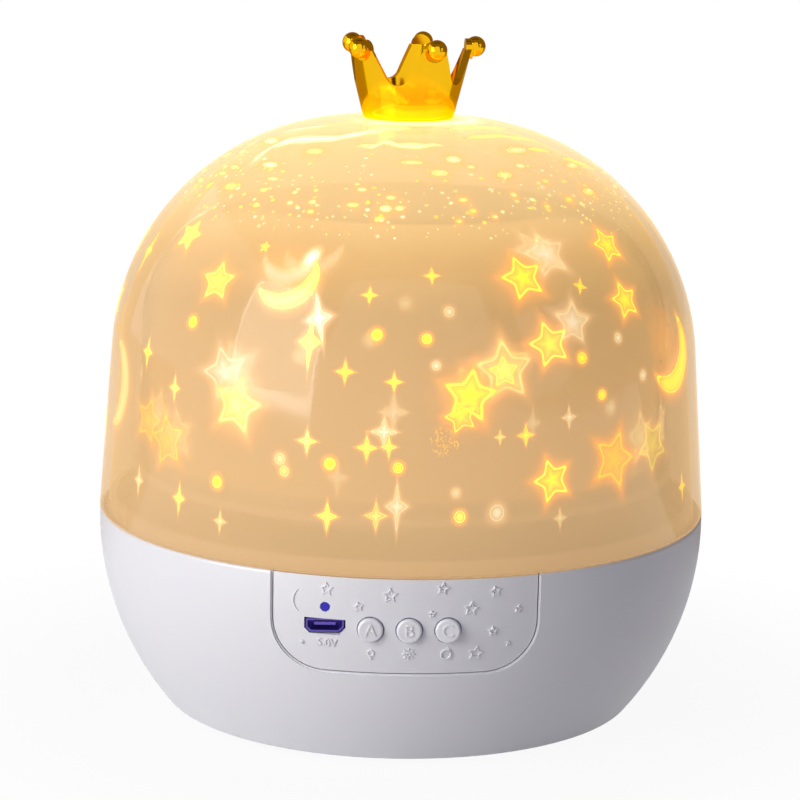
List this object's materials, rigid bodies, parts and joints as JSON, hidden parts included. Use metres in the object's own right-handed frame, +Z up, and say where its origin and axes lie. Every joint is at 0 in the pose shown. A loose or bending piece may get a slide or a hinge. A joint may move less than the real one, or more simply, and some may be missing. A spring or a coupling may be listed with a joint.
{
  "type": "star night light projector",
  "caption": "Dome-shaped night light with a gold crown, a lift-off translucent dome over a motor-turned star cup, and a bowl base with push buttons, power socket and battery bay.",
  "frame": {"origin": "middle of the footprint, on the floor under the rubber feet", "axes": "+Z up along the dome's axis; -Y faces the control panel; +X to the right as one faces the panel"},
  "size_m": [0.13, 0.13, 0.1433],
  "materials": {
    "shell_white": "satin moulded white",
    "dome_amber": "glossy translucent warm amber",
    "cup_clear": "clear moulded",
    "star_film": "printed film",
    "crown_gold": "vacuum metallised bright gold",
    "gear_nylon": "natural moulded nylon",
    "deck_white": "moulded white, as moulded",
    "screw_steel": "plated steel",
    "motor_metal": "plated can",
    "contact_nickel": "nickel plated strip",
    "board_green": "solder mask",
    "foot_rubber": "moulded rubber",
    "lens_clear": "clear epoxy",
    "warm_lamp": "warm lamp lens",
    "cell_wrap": "printed film wrap, plain",
    "switch_black": "moulded black",
    "socket_steel": "stamped steel"
  },
  "bodies": {
    "base": {"aaa_cell_1": "cell_wrap", "aaa_cell_2": "cell_wrap", "aaa_cell_3": "cell_wrap", "aaa_cell_4": "cell_wrap", "base_shell": "shell_white", "battery_lead": "switch_black", "board_screws": "screw_steel", "bottom_cover": "shell_white", "bottom_screws": "screw_steel", "colour_leds": "lens_clear", "contact_plates": "contact_nickel", "contact_springs": "contact_nickel", "control_board": "board_green", "control_panel": "shell_white", "deck_plate": "deck_white", "deck_screws": "screw_steel", "drive_motor": "motor_metal", "idler_pin": "screw_steel", "indicator_led": "lens_clear", "lamp_lead": "switch_black", "led_board": "board_green", "led_screws": "screw_steel", "light_pipe": "lens_clear", "motor_lead": "switch_black", "motor_screws": "screw_steel", "rubber_feet": "foot_rubber", "tact_switch_a": "switch_black", "tact_switch_b": "switch_black", "tact_switch_c": "switch_black", "turntable_clip": "screw_steel", "usb_socket": "socket_steel", "warm_led": "warm_lamp"},
    "dome": {"dome_cover": "dome_amber", "crown": "crown_gold", "crown_screw": "screw_steel"},
    "rotor": {"turntable": "deck_white", "projection_cup": "cup_clear", "star_film": "star_film"},
    "idler": {"idler_gear": "gear_nylon"},
    "pinion": {"motor_pinion": "gear_nylon", "motor_shaft": "screw_steel"},
    "button_a": {"button_a": "shell_white"},
    "button_b": {"button_b": "shell_white"},
    "button_c": {"button_c": "shell_white"},
    "door": {"battery_door": "shell_white", "door_screw": "screw_steel"}
  },
  "joints": [
    {"name": "dome_lift", "type": "slide", "parent": "base", "child": "dome", "axis": [0, 0, 1], "range_m": [0, 0.11]},
    {"name": "rotor_spin", "type": "hinge", "parent": "base", "child": "rotor", "pos_m": [0, 0, 0], "axis": [0, 0, 1], "continuous": true},
    {"name": "idler_spin", "type": "hinge", "parent": "base", "child": "idler", "pos_m": [0, 0.03, 0], "axis": [0, 0, 1], "continuous": true},
    {"name": "pinion_spin", "type": "hinge", "parent": "base", "child": "pinion", "pos_m": [0.02175, 0.01986, 0], "axis": [0, 0, 1], "continuous": true},
    {"name": "button_a_press", "type": "slide", "parent": "base", "child": "button_a", "axis": [0, 1, 0], "range_m": [0, 0.0005], "stiffness_N_per_m": 500},
    {"name": "button_b_press", "type": "slide", "parent": "base", "child": "button_b", "axis": [0, 1, 0], "range_m": [0, 0.0005], "stiffness_N_per_m": 500},
    {"name": "button_c_press", "type": "slide", "parent": "base", "child": "button_c", "axis": [0, 1, 0], "range_m": [0, 0.0005], "stiffness_N_per_m": 500},
    {"name": "battery_door_swing", "type": "hinge", "parent": "base", "child": "door", "pos_m": [0, 0.0271, 0.0021], "axis": [1, 0, 0], "range_deg": [0, 75]}
  ],
  "couplings": [
    {"joint": "idler_spin", "follows": "rotor_spin", "ratio": 6},
    {"joint": "pinion_spin", "follows": "rotor_spin", "ratio": -18}
  ]
}
